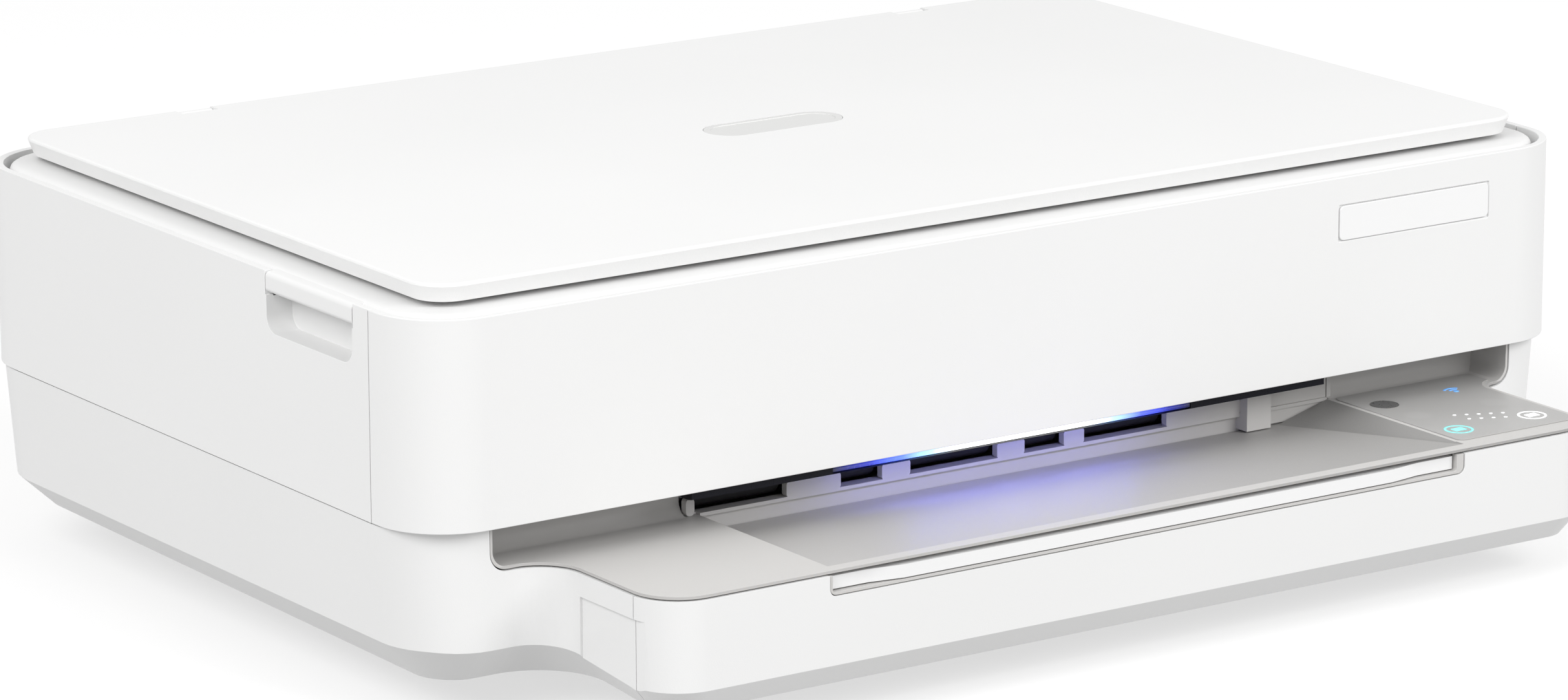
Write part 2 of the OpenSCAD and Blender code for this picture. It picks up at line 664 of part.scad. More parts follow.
module pulley(x, y, z0, z1, hole) {
    color(dark) difference() {
        cz(z0, z1, x, y, belt_r - 0.6);
        cz(z0 - 1, z1 + 1, x, y, hole);
        for (a = [0:120:240]) translate([x, y, 0]) rotate(a) cz(z1 - 0.8, z1 + 1, 2.4, 0, 0.5);
    }
}
module scan_pulley() {
    pulley(-scan_x, scan_y, 103.4, 107, 1.05);
}
module scan_idler() {
    pulley(scan_x, scan_y, 103.4, 107, 1.05);
}
module scan_bar() {
    color(dark) difference() {
        union() {
            rb(-147, -129, -98, 118, 108, 119.2, 2);
            bx(-146, -130, 3, 17, scan_rod_z - 2, 108.5);
            bx(-142, -134, scan_y - belt_r - 2.2, scan_y - belt_r - 0.9, 104, 108.5);
            bx(-142, -134, scan_y - belt_r + 0.7, scan_y - belt_r + 1.9, 104, 108.5);
        }
        cx(-150, -120, scan_rod_y, scan_rod_z, 3.05);
        bx(-140.5, -135.5, -96, 116, 118.4, 120);
    }
}
module lid_posts() {
    both() {
        bx(-146, -134, lid_y - 2.6, lid_y + 2.6, frame_z, lid_z);
        cx(-146, -134, lid_y, lid_z, 2.6);
        cx(-154, -126, lid_y, lid_z, 1.5);
    }
}
module scanner_lid() {
    color(white) difference() {
        loft([for (r = [[1.8, lid_bot], [1.3, lid_bot + 1.4], [0.35, lid_bot + 3.8], [0, lid_bot + 4.8],
            [0.12, lid_top - 0.4], [0.45, lid_top - 0.14], [1, lid_top]])
            [for (p = box_path(-lid_w / 2, lid_w / 2, lid_front, lid_back, lid_r, lid_r, r[0])) [p[0], p[1], r[1]]]], [0, 0], lid_bot, lid_top);
        rb(-198, 198, -108.5, 127, lid_bot - 1, lid_top - 2.4, 20);
        both() {
            bx(-146.5, -133.5, lid_y - 4.2, lid_back + 5, lid_bot - 1, lid_top + 1);
            cx(-154.5, -125.5, lid_y, lid_z, 1.56);
        }
        rb(-25, 25, 1.5, 19.5, lid_top - 0.5, lid_top + 1, 8.9);
    }
}
module lid_badge() {
    color(grey) difference() {
        rb(-24.8, 24.8, 1.7, 19.3, lid_top - 0.45, lid_top, 8.7);
        rb(-22.6, 22.6, 3.9, 17.1, lid_top - 0.2, lid_top + 1, 6.5);
    }
}
module lid_pad() {
    color(white) {
        rb(-197.6, 197.6, -108.1, 126.6, lid_bot - 0.5, lid_top - 2.5, 19.6);
        rb(-149.5, 149.5, -98, 119.5, plate_bot + 0.3, lid_bot, 2);
    }
}

// ---------------------------------------------------------------- print engine
module chassis() {
    color(steel) difference() {
        union() {
            bx(chas_l, chas_r + sheet_t, chas_y, chas_y + sheet_t, 46, 96);
            for (x = [chas_l, chas_r]) bx(x, x + sheet_t, deck_back + 2, chas_y + sheet_t, 31.6, 96);
            for (x = [chas_l, chas_r - 11]) bx(x, x + 12.6, -104, -8, 31.6, 33.2);
            for (x = [-34, 53]) bx(x, x + 3, chas_y, pick_y + 5, pick_z - 5, pick_z + 5);
            for (x = [pul_x0, pul_x1]) bx(x - 6, x + 6, belt_y - 4, chas_y + 1, 73, 74.6);
        }
        cx(-200, 200, feed_y, feed_z, 3.05);
        cx(-200, 200, exit_y, exit_z, 2.55);
        bx(-200, 200, deck_back, exit_y, exit_z - 2.55, exit_z + 2.55);
        cx(-200, 200, rod_y, rod_z, 4.05);
        cz(70, 78, pul_x0, belt_y, 1.55);
        for (x = [-170, 180], y = [-96, -14]) cz(30, 35, x, y, 1.7);
        bx(chas_l - 1, chas_l + 3, -60, -44, 62, 80);
    }
    color(steel) chassis_pins();
}
// shafts and pins riveted to the sheet metal
module chassis_pins() {
    cx(-36, 58, pick_y, pick_z, 3);
    cz(70, 84.5, pul_x1, belt_y, 1);
    cz(70, 72.95, pul_x1, belt_y, 3);
    cx(gear_x0 - 0.5, chas_l + 0.5, idle_y, idle_z, 2.5);
    cx(gear_x0 - 2, gear_x0 - 0.4, idle_y, idle_z, 3.6);
}
module chassis_screws() {
    color(steel) for (x = [-170, 180], y = [-96, -14]) {
        difference() {
            cz(33.2, 35, x, y, 3);
            for (a = [0, 90]) translate([x, y, 34.2]) rotate(a) bx(-2, 2, -0.4, 0.4, 0, 2);
        }
        cz(22, 33.3, x, y, 1.4);
    }
}
module carriage_rod() {
    color(steel) cx(chas_l - 3, chas_r + sheet_t + 3, rod_y, rod_z, 4);
}
module carriage() {
    x0 = carriage_home_x - carriage_w / 2;
    x1 = carriage_home_x + carriage_w / 2;
    color(dark) difference() {
        union() {
            rb(x0, x1, -92, -20.2, 64, 88, 2);
            bx(x0 + 10, x1 - 10, -20.8, -15.6, 84, 86);
            bx(x0 + 10, x1 - 10, belt_y - belt_r - 2, belt_y - belt_r - 0.9, 78, 85);
            bx(x0 + 10, x1 - 10, belt_y - belt_r + 0.7, belt_y - belt_r + 1.7, 78, 85);
            bx(x0 + 20, x1 - 20, -26, -24.2, 87, 95);
            bx(x0 + 20, x1 - 20, -23, -21.4, 87, 95);
        }
        for (x = [x0 + 2, carriage_home_x + 1]) bx(x, x + carriage_w / 2 - 3, -90, -36, 66, 100);
        for (x = [x0 + 5, carriage_home_x + 4]) bx(x, x + carriage_w / 2 - 9, -86, -54, 60, 70);
        cx(x0 - 1, x1 + 1, rod_y, rod_z, 4.05);
        // lower the front lip so the cartridges can be reached
        bx(x0 + 4, x1 - 4, -95, -85, 80, 100);
    }
}
module cartridge(x) {
    difference() {
        union() {
            rb(x + 0.3, x + carriage_w / 2 - 3.3, -89.7, -36.3, 66.2, 91, 1.5);
            bx(x + 3.4, x + carriage_w / 2 - 6.4, -85.6, -54.4, 58.8, 66.4);
            bx(x + 6, x + 18, -93.5, -89, 86, 88);
        }
        bx(x + 4, x + 20, -80, -46, 90.6, 92);
    }
}
module cartridges() {
    color(black) cartridge(carriage_home_x + 1);
    color([0.25, 0.25, 0.28]) cartridge(carriage_home_x - carriage_w / 2 + 2);
}
module carriage_belt() {
    color(rub) belt_loop(pul_x0, pul_x1, belt_y, belt_r, belt_z0, belt_z1);
}
module carriage_motor() {
    color(steel) {
        cz(46, 72.95, pul_x0, belt_y, 7.6);
        cz(46, 84.5, pul_x0, belt_y, 1);
    }
}
module motor_pulley() {
    pulley(pul_x0, belt_y, 76.6, 83.6, 1.05);
}
module idler_pulley() {
    pulley(pul_x1, belt_y, 76.6, 83.6, 1.05);
}
module platen() {
    color(dark) {
        bx(-112, 120, -92, -44, 54, 56.2);
        for (i = [0:17]) bx(-104 + 12.6 * i, -102.4 + 12.6 * i, -91, -45, 56, 57);
        for (x = [-112, 118]) bx(x, x + 2, -92, -44, 40, 54.2);
        bx(-112, 120, -92, -90, 46, 54.2);
    }
}
module feed_shaft() {
    color(steel) cx(gear_x0 - 1, chas_r + sheet_t + 2, feed_y, feed_z, 3);
    color(rub) cx(-100, 108, feed_y, feed_z, feed_r);
    color(white) gear_x(gear_x0, gear_x1, feed_y, feed_z, feed_n, feed_ph, 2.9);
}
module idler_gear() {
    color(white) difference() {
        gear_x(gear_x0, gear_x1, idle_y, idle_z, idle_n, idle_ph, 2.55);
        for (a = [0:60:300]) translate([0, idle_y, idle_z]) rotate([a, 0, 0]) cx(gear_x0 - 1, gear_x1 + 1, 7.8, 0, 2.4);
    }
}
module motor_pinion() {
    color([0.85, 0.7, 0.3]) gear_x(gear_x0, gear_x1, motor_y, motor_z, pin_n, pin_ph, 1.0);
}
module feed_motor() {
    color(steel) {
        cx(-211, gear_x0 - 1.2, motor_y, motor_z, 14);
        cx(gear_x0 - 1.5, gear_x1 + 0.5, motor_y, motor_z, 0.95);
        difference() {
            for (a = [-50, 50]) translate([0, motor_y, motor_z]) rotate([a, 0, 0])
                cx(gear_x0 - 3, chas_l, 11.5, 0, 2);
            bx(chas_l, 0, -100, 100, 0, 120);
        }
    }
}
module exit_shaft() {
    color(steel) cx(gear_x0 - 1, chas_r + sheet_t + 2, exit_y, exit_z, 2.5);
    color(rub) for (s = roll_segs) difference() {
        cx(s[0], s[1], exit_y, exit_z, 5);
        cx(s[0] - 1, s[1] + 1, exit_y, exit_z, 2.4);
    }
    color(white) gear_x(gear_x0, gear_x1, exit_y, exit_z, exit_n, exit_ph, 2.4);
}
module star_wheels() {
    color(steel) for (s = roll_segs) let (x = (s[0] + s[1]) / 2)
        translate([x - 0.5, exit_y + 2.2, exit_z + 8.4]) rotate([90, 0, 90]) linear_extrude(1) difference() {
            union() {
                circle(2.2);
                for (a = [0:30:330]) rotate(a) polygon([[2, -0.5], [3, 0], [2, 0.5]]);
            }
            circle(0.55);
        }
}
module roller_holders() {
    color(dark) {
        bx(-116, 112, exit_y + 0.2, exit_y + 4.2, exit_z + 12, exit_z + 13.6);
        for (s = roll_segs) let (x = (s[0] + s[1]) / 2) for (dx = [-2.4, 1]) difference() {
            bx(x + dx, x + dx + 1.4, exit_y + 1, exit_y + 3.4, exit_z + 7.6, exit_z + 12.1);
            cx(x - 5, x + 5, exit_y + 2.2, exit_z + 8.4, 0.52);
        }
        for (s = roll_segs) let (x = (s[0] + s[1]) / 2) cx(x - 2.4, x + 2.4, exit_y + 2.2, exit_z + 8.4, 0.5);
        for (x = [-176, 184]) bx(x, x + 2, exit_y + 0.2, exit_y + 4.2, exit_z + 12, exit_z + 20);
        bx(-176, -115, exit_y + 0.2, exit_y + 4.2, exit_z + 12, exit_z + 13.6);
        bx(111, 186, exit_y + 0.2, exit_y + 4.2, exit_z + 12, exit_z + 13.6);
        for (i = [0:3]) let (x = -92 + 56 * i) {
            cx(x - 2, x + 26, feed_y, pinch_z, 0.8);
            for (dx = [-2, 24.4])
                bx(x + dx, x + dx + 1.6, feed_y - 1.6, chas_y, feed_z + feed_r + 1, feed_z + feed_r + 4);
        }
    }
}
module pinch_rollers() {
    color(rub) for (i = [0:3]) let (x = -92 + 56 * i) difference() {
        cx(x, x + 24, feed_y, pinch_z, 2.4);
        cx(x - 1, x + 25, feed_y, pinch_z, 0.85);
    }
}
module pick_arm() {
    run = pick_ry - pick_y;
    drop = pick_rz - pick_z;
    l = sqrt(run * run + drop * drop);
    color(dark) translate([0, pick_y, pick_z]) rotate([atan2(drop, run), 0, 0]) difference() {
        union() {
            for (x = [2, 17]) {
                cx(x, x + 3, 0, 0, 6);
                cx(x, x + 3, l, 0, 5);
                bx(x, x + 3, 0, l, -3.5, 3.5);
            }
            cx(1.5, 20.5, 0, 0, 5);
            cx(1.5, 20.5, l, 0, 1.9);
            bx(2, 20, 8, 28, 0.5, 3.2);
        }
        cx(0, 30, 0, 0, 3.05);
    }
}
module pick_roller() {
    color(rub) difference() {
        cx(6, 16, pick_ry, pick_rz, pick_r);
        cx(5, 17, pick_ry, pick_rz, 1.95);
        for (a = [0:72:288]) translate([0, pick_ry, pick_rz]) rotate([a, 0, 0]) cx(5, 17, 7.4, 0, 2.4);
    }
}
module service_station() {
    color(dark) difference() {
        bx(122, 176, -90, -40, 34, 56);
        bx(124, 174, -88, -42, 36, 60);
    }
}
module service_sled() {
    color(grey) bx(126, 172, -87, -57, 46, 50);
    color(rub) for (x = [carriage_home_x - 22.5, carriage_home_x + 2]) rb(x, x + 22, -85, -59, 49.5, 58.3, 2);
}
module main_board() {
    color([0.05, 0.35, 0.2]) difference() {
        bx(-200, -130, 28, 124, 65.7, 67.3);
        for (x = [-192, -138], y = [34, 118]) cz(60, 70, x, y, 1.6);
    }
    color(black) {
        bx(-182, -162, 62, 82, 67.3, 69);
        bx(-155, -143, 70, 90, 67.3, 68.6);
        for (i = [0:4]) cz(67.3, 77, -190, 50 + 12 * i, 3.6);
        bx(-150, -140, 40, 60, 67.3, 72);
    }
    usb_part();
}
module usb_part() {
    color(steel) difference() {
        bx(-166, -151, 122, back_y + 0.4, 67.2, 80);
        bx(-164.5, -152.5, 130, back_y + 2, 69.4, 78.4);
    }
    color(black) bx(-162, -155, 128, back_y - 2, 72.4, 75.4);
}
module power_supply() {
    color(black) {
        difference() {
            rb(150, 199, 24, 122.2, 17, 58, 3);
            for (i = [0:7]) bx(158, 192, 34 + 9 * i, 38 + 9 * i, 56.8, 60);
        }
    }
    inlet_part();
}
module inlet_part() {
    color(black) difference() {
        union() {
            bx(169, 187, 122, low_back + 0.2, 32, 46);
            bx(166.5, 189.5, low_back + 0.1, low_back + 1.7, 29.5, 48.5);
        }
        bx(171, 185, low_back - 12, low_back + 5, 34, 44);
    }
    color(steel) for (x = [174.5, 181.5]) cy(low_back - 14, low_back - 2, x, 39, 1.1);
}
module button_body(x, r) {
    cy(back_y - 3.6, back_y + 1, x, button_z, r);
    cy(back_y - 4.6, back_y - 3.4, x, button_z, r + 1.6);
}
module power_button() {
    color(grey) difference() {
        button_body(power_x, 5);
        cy(back_y + 0.7, back_y + 2, power_x, button_z, 3.4);
    }
}
module wifi_button() {
    color([0.5, 0.6, 0.75]) button_body(wifi_x, 4);
}

lower_body();
feet();
side_shell();
front_fascia();
name_plate();
rear_cover();
turn_guide();
output_deck();
exit_wall();
exit_hood();
light_bar();
control_panel();
panel_icons();
tray_front();
tray_body();
tray_cover();
output_extender();
guide_left();
guide_right();
guide_pinion();
scanner_frame();
unit_hinges();
scanner_glass();
scan_bed();
scan_rod();
scan_motor();
scan_belt();
scan_pulley();
scan_idler();
scan_bar();
scanner_lid();
lid_badge();
lid_pad();
chassis();
chassis_screws();
carriage_rod();
carriage();
cartridges();
carriage_belt();
carriage_motor();
motor_pulley();
idler_pulley();
platen();
feed_shaft();
idler_gear();
motor_pinion();
feed_motor();
exit_shaft();
star_wheels();
pinch_rollers();
roller_holders();
pick_arm();
pick_roller();
service_station();
service_sled();
main_board();
power_supply();
power_button();
wifi_button();
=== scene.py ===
import bpy
import json
import math
from mathutils import Matrix, Vector


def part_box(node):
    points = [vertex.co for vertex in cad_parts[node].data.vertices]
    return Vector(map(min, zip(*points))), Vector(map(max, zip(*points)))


# Lengths are in metres, in the part's own frame: x to the right, y to the rear, z up.
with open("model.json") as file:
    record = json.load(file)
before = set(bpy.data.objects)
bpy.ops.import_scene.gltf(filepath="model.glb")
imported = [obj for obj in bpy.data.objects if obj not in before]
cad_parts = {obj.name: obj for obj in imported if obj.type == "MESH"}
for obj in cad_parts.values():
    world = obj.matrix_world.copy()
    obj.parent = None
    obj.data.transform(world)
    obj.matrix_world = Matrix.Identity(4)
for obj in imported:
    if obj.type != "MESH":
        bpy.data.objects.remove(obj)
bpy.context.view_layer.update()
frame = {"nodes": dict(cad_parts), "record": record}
NODES = frame["nodes"]

WHITE = (0.80, 0.80, 0.797)
LID_WHITE = (0.815, 0.815, 0.812)
GLOSS_WHITE = (0.83, 0.83, 0.83)
FOAM_WHITE = (0.86, 0.86, 0.86)
GREY = (0.565, 0.555, 0.542)
BADGE_GREY = (0.68, 0.68, 0.67)
DARK = (0.022, 0.022, 0.026)
HOOD_BLACK = (0.006, 0.006, 0.010)
BLACK = (0.012, 0.012, 0.013)
RUBBER_BLACK = (0.03, 0.03, 0.032)
GEAR_CREAM = (0.72, 0.70, 0.62)
STEEL = (0.62, 0.63, 0.65)
BRASS = (0.75, 0.55, 0.22)

NOISE_LOW, NOISE_HIGH = 0.3, 0.7    # nearly all of a noise texture lies between these
FINE_GRAIN = 2600                   # noise scale of smooth spark-eroded plastic
COARSE_GRAIN = 2200                 # the same on grey and black mouldings


# ---------------------------------------------------------------- node helpers
def new_material(name):
    m = bpy.data.materials.new(name)
    m.use_nodes = True
    nt = m.node_tree
    nt.nodes.clear()
    out = nt.nodes.new("ShaderNodeOutputMaterial")
    sh = nt.nodes.new("ShaderNodeBsdfPrincipled")
    nt.links.new(sh.outputs["BSDF"], out.inputs["Surface"])
    return m, nt, sh


def set_inputs(node, values):
    for socket, value in values.items():
        node.inputs[socket].default_value = value


def coords(nt, scale=(1, 1, 1)):
    tc = nt.nodes.new("ShaderNodeTexCoord")
    mp = nt.nodes.new("ShaderNodeMapping")
    mp.inputs["Scale"].default_value = scale
    nt.links.new(tc.outputs["Object"], mp.inputs["Vector"])
    return mp.outputs["Vector"]


def xyz(nt, space="Object"):
    tc = nt.nodes.new("ShaderNodeTexCoord")
    sep = nt.nodes.new("ShaderNodeSeparateXYZ")
    nt.links.new(tc.outputs[space], sep.inputs["Vector"])
    return sep.outputs["X"], sep.outputs["Y"], sep.outputs["Z"]


def noise(nt, vec, scale, detail=3.0, rough=0.5):
    n = nt.nodes.new("ShaderNodeTexNoise")
    set_inputs(n, {"Scale": scale, "Detail": detail, "Roughness": rough})
    nt.links.new(vec, n.inputs["Vector"])
    return n.outputs["Fac"]


def ramp(nt, fac, stops):
    r = nt.nodes.new("ShaderNodeValToRGB")
    elements = r.color_ramp.elements
    while len(elements) < len(stops):
        elements.new(0.5)
    for element, (position, color) in zip(elements, stops):
        element.position = position
        element.color = (*color, 1)
    nt.links.new(fac, r.inputs["Fac"])
    return r.outputs["Color"]


def two_tone(nt, fac, low, high):
    return ramp(nt, fac, [(NOISE_LOW, low), (NOISE_HIGH, high)])


def maprange(nt, fac, from_min, from_max, to_min, to_max):
    m = nt.nodes.new("ShaderNodeMapRange")
    set_inputs(m, {"From Min": from_min, "From Max": from_max, "To Min": to_min, "To Max": to_max})
    nt.links.new(fac, m.inputs["Value"])
    return m.outputs["Result"]


def spread(nt, fac, low, high):
    return maprange(nt, fac, NOISE_LOW, NOISE_HIGH, low, high)


def bump(nt, height, strength, distance):
    b = nt.nodes.new("ShaderNodeBump")
    set_inputs(b, {"Strength": strength, "Distance": distance})
    nt.links.new(height, b.inputs["Height"])
    return b.outputs["Normal"]


def math_node(nt, op, *values):
    n = nt.nodes.new("ShaderNodeMath")
    n.operation = op
    for socket, v in zip(n.inputs, values):
        if isinstance(v, (int, float)):
            socket.default_value = v
        else:
            nt.links.new(v, socket)
    return n.outputs["Value"]


def near(nt, value, middle, reach):
    """1 where value is closer than reach to middle, else 0."""
    gap = math_node(nt, "ABSOLUTE", math_node(nt, "SUBTRACT", value, middle))
    return math_node(nt, "LESS_THAN", gap, reach)


def distance2d(nt, u, v, centre_u, centre_v):
    du = math_node(nt, "SUBTRACT", u, centre_u)
    dv = math_node(nt, "SUBTRACT", v, centre_v)
    du2 = math_node(nt, "MULTIPLY", du, du)
    dv2 = math_node(nt, "MULTIPLY", dv, dv)
    return math_node(nt, "SQRT", math_node(nt, "ADD", du2, dv2))


def mix_color(nt, fac, a, b):
    m = nt.nodes.new("ShaderNodeMix")
    m.data_type = "RGBA"
    nt.links.new(fac, m.inputs["Factor"])
    for name, v in (("A", a), ("B", b)):
        socket = next(i for i in m.inputs if i.name == name and i.type == "RGBA")
        if isinstance(v, tuple):
            socket.default_value = (*v, 1)
        else:
            nt.links.new(v, socket)
    return next(o for o in m.outputs if o.type == "RGBA")


# ------------------------------------------------------------------- materials
def moulded(name, color, rough, grain, depth, vary, coat=0.0, spec=0.5):
    """Injection-moulded plastic: spark-eroded grain and faint flow mottling."""
    m, nt, sh = new_material(name)
    v = coords(nt)
    mottle = noise(nt, v, 9, 2.0)
    low = tuple(c * (1 - vary) for c in color)
    high = tuple(min(1, c * (1 + vary)) for c in color)
    nt.links.new(two_tone(nt, mottle, low, high), sh.inputs["Base Color"])
    fine = noise(nt, v, grain, 4.0, 0.6)
    nt.links.new(spread(nt, fine, rough - 0.04, rough + 0.05), sh.inputs["Roughness"])
    nt.links.new(bump(nt, fine, 0.5, depth), sh.inputs["Normal"])
    set_inputs(sh, {"Specular IOR Level": spec, "Coat Weight": coat, "Coat Roughness": 0.12})
    return m


def metal(name, color, rough, along=(1, 1, 1)):
    """Drawn metal; along squeezes the grain across the drawing direction."""
    m, nt, sh = new_material(name)
    n = noise(nt, coords(nt, along), 900)
    low = tuple(c * 0.9 for c in color)
    nt.links.new(two_tone(nt, n, low, color), sh.inputs["Base Color"])
    sh.inputs["Metallic"].default_value = 1.0
    nt.links.new(spread(nt, n, rough - 0.07, rough + 0.08), sh.inputs["Roughness"])
    nt.links.new(bump(nt, n, 0.2, 0.00002), sh.inputs["Normal"])
    return m


def rubbery(name, color):
    m, nt, sh = new_material(name)
    n = noise(nt, coords(nt), 1800, 4.0)
    low = tuple(c * 0.8 for c in color)
    high = tuple(c * 1.25 for c in color)
    nt.links.new(two_tone(nt, n, low, high), sh.inputs["Base Color"])
    nt.links.new(spread(nt, n, 0.62, 0.78), sh.inputs["Roughness"])
    nt.links.new(bump(nt, n, 0.4, 0.00008), sh.inputs["Normal"])
    return m


def glass_plate(name):
    m, nt, sh = new_material(name)
    n = noise(nt, coords(nt), 6, 2.0)
    tint = ramp(nt, n, [(0.2, (0.90, 0.96, 0.95)), (0.8, (0.94, 0.98, 0.97))])
    nt.links.new(tint, sh.inputs["Base Color"])
    nt.links.new(spread(nt, n, 0.02, 0.05), sh.inputs["Roughness"])
    set_inputs(sh, {"Transmission Weight": 1.0, "IOR": 1.5})
    return m


def light_strip(name):
    """Edge-lit guide: white in the middle, fading through blue to dark at its ends."""
    m, nt, sh = new_material(name)
    x, _, _ = xyz(nt)
    along = maprange(nt, x, -0.070, 0.064, 0.0, 1.0)
    unlit = (0.010, 0.010, 0.025)
    white = (1.0, 1.0, 1.0)
    glow = ramp(nt, along, [
        (0.0, unlit), (0.10, (0.02, 0.03, 0.30)), (0.19, (0.09, 0.16, 0.95)),
        (0.27, (0.34, 0.62, 1.0)), (0.34, white), (0.70, white), (0.78, (0.34, 0.55, 1.0)),
        (0.86, (0.07, 0.10, 0.80)), (0.94, (0.015, 0.02, 0.20)), (1.0, unlit)])
    nt.links.new(glow, sh.inputs["Emission Color"])
    grain = noise(nt, coords(nt), 900)
    nt.links.new(spread(nt, grain, 0.2, 0.3), sh.inputs["Roughness"])
    set_inputs(sh, {"Emission Strength": 2.2, "Base Color": (0.03, 0.03, 0.04, 1)})
    return m


def painted_shade_deck_mat(name, color):
    """Grey moulding with painted shade: its channel is darkened, more towards the right, and its
    leaning bank most of all.
    """
    channel_top = 0.04772
    bank_x, bank_end_x, bank_end_z, bank_slope = 0.1035, 0.131, 0.0478, 0.272
    m = moulded(name, color, 0.46, COARSE_GRAIN, 0.00006, 0.015)
    nt = m.node_tree
    sh = next(n for n in nt.nodes if n.type == "BSDF_PRINCIPLED")
    base = sh.inputs["Base Color"].links[0].from_socket
    x, _, z = xyz(nt)
    sunk = math_node(nt, "LESS_THAN", z, channel_top)
    # painted shade across the channel, deeper towards the right
    painted_shade_across = maprange(nt, x, -0.02, 0.105, 0.20, 0.50)
    # painted shade on the leaning bank, the darkest of all
    bank_z = math_node(nt, "ADD", math_node(nt, "MULTIPLY", x, bank_slope),
                       bank_end_z - bank_end_x * bank_slope)
    on_bank = math_node(nt, "MULTIPLY", near(nt, z, bank_z, 0.00012),
                        math_node(nt, "GREATER_THAN", x, bank_x))
    painted_shade_amount = math_node(nt, "MAXIMUM", painted_shade_across, math_node(nt, "MULTIPLY", on_bank, 0.72))
    painted_shade = math_node(nt, "MULTIPLY", sunk, painted_shade_amount)
    painted_shade_color = tuple(0.30 * c for c in color)
    nt.links.new(mix_color(nt, painted_shade, base, painted_shade_color), sh.inputs["Base Color"])
    return m


def board_mat(name):
    """Green laminate with traces, black components above it and a plated socket."""
    laminate_top, socket_y, socket_z = 0.06735, 0.1215, 0.06715
    m, nt, sh = new_material(name)
    v = coords(nt)
    traces = nt.nodes.new("ShaderNodeTexBrick")
    set_inputs(traces, {"Scale": 160, "Mortar Size": 0.04, "Mortar": (0.08, 0.36, 0.20, 1),
                        "Color1": (0.02, 0.17, 0.09, 1), "Color2": (0.03, 0.22, 0.12, 1)})
    nt.links.new(v, traces.inputs["Vector"])
    x, y, z = xyz(nt)
    component = math_node(nt, "GREATER_THAN", z, laminate_top)
    socket = math_node(nt, "MULTIPLY", math_node(nt, "GREATER_THAN", y, socket_y),
                       math_node(nt, "GREATER_THAN", z, socket_z))
    tongue = math_node(nt, "MULTIPLY", near(nt, x, -0.1585, 0.0036), near(nt, z, 0.0739, 0.0016))
    plated = math_node(nt, "MULTIPLY", socket, math_node(nt, "SUBTRACT", 1.0, tongue))
    base = mix_color(nt, component, traces.outputs["Color"], (0.02, 0.02, 0.022))
    nt.links.new(mix_color(nt, plated, base, STEEL), sh.inputs["Base Color"])
    nt.links.new(plated, sh.inputs["Metallic"])
    nt.links.new(spread(nt, noise(nt, v, 300), 0.25, 0.4), sh.inputs["Roughness"])
    return m


def icons_mat(name):
    """Printed and lit symbols: each symbol's colour comes from where it sits on the panel."""
    m, nt, sh = new_material(name)
    x, y, _ = xyz(nt)
    rear = math_node(nt, "GREATER_THAN", y, -0.135)
    rear_right = math_node(nt, "GREATER_THAN", x, 0.155)
    front_right = math_node(nt, "GREATER_THAN", x, 0.146)
    rear_row = mix_color(nt, rear_right, (0.12, 0.12, 0.12), (0.16, 0.45, 1.0))
    front_row = mix_color(nt, front_right, (0.28, 0.82, 0.80), (0.95, 0.97, 0.97))
    base = mix_color(nt, rear, front_row, rear_row)
    nt.links.new(base, sh.inputs["Base Color"])
    nt.links.new(base, sh.inputs["Emission Color"])
    lit = math_node(nt, "MAXIMUM", rear_right, math_node(nt, "SUBTRACT", 1.0, rear))
    grain = noise(nt, coords(nt), 900)
    glow = math_node(nt, "MULTIPLY", lit, spread(nt, grain, 0.32, 0.38))
    nt.links.new(glow, sh.inputs["Emission Strength"])
    nt.links.new(spread(nt, grain, 0.25, 0.35), sh.inputs["Roughness"])
    return m


def panel_mat(name):
    """Matt panel overlay with two symbols that are switched off and barely seen."""
    unlit_symbols = ((0.1705, -0.1429), (0.1405, -0.1415))
    m, nt, sh = new_material(name)
    x, y, _ = xyz(nt)
    v = coords(nt)
    base = two_tone(nt, noise(nt, v, 40, 2.0), (0.415, 0.410, 0.402), (0.435, 0.430, 0.422))
    for centre in unlit_symbols:
        away = distance2d(nt, x, y, *centre)
        soft = maprange(nt, away, 0.0030, 0.0052, 0.5, 0.0)
        base = mix_color(nt, soft, base, (0.47, 0.465, 0.458))
    nt.links.new(base, sh.inputs["Base Color"])
    fine = noise(nt, v, FINE_GRAIN, 4.0, 0.6)
    nt.links.new(spread(nt, fine, 0.30, 0.38), sh.inputs["Roughness"])
    nt.links.new(bump(nt, fine, 0.4, 0.00002), sh.inputs["Normal"])
    return m


def shaft_mat(name, axis_y, axis_z, steel_r, gear_x):
    """Steel shaft carrying rubber rollers and, left of gear_x, a moulded gear."""
    m, nt, sh = new_material(name)
    x, y, z = xyz(nt)
    outer = math_node(nt, "GREATER_THAN", distance2d(nt, y, z, axis_y, axis_z), steel_r)
    geared = math_node(nt, "LESS_THAN", x, gear_x)
    n = noise(nt, coords(nt), 1500)
    rubber = two_tone(nt, n, (0.012, 0.012, 0.013), (0.020, 0.020, 0.022))
    steel = two_tone(nt, n, (0.55, 0.56, 0.58), (0.64, 0.65, 0.67))
    skin = mix_color(nt, geared, rubber, GEAR_CREAM)
    nt.links.new(mix_color(nt, outer, steel, skin), sh.inputs["Base Color"])
    nt.links.new(math_node(nt, "SUBTRACT", 1.0, outer), sh.inputs["Metallic"])
    duller = math_node(nt, "MULTIPLY", outer, 0.12)
    rough = math_node(nt, "ADD", duller, spread(nt, n, 0.24, 0.34))
    nt.links.new(rough, sh.inputs["Roughness"])
    return m


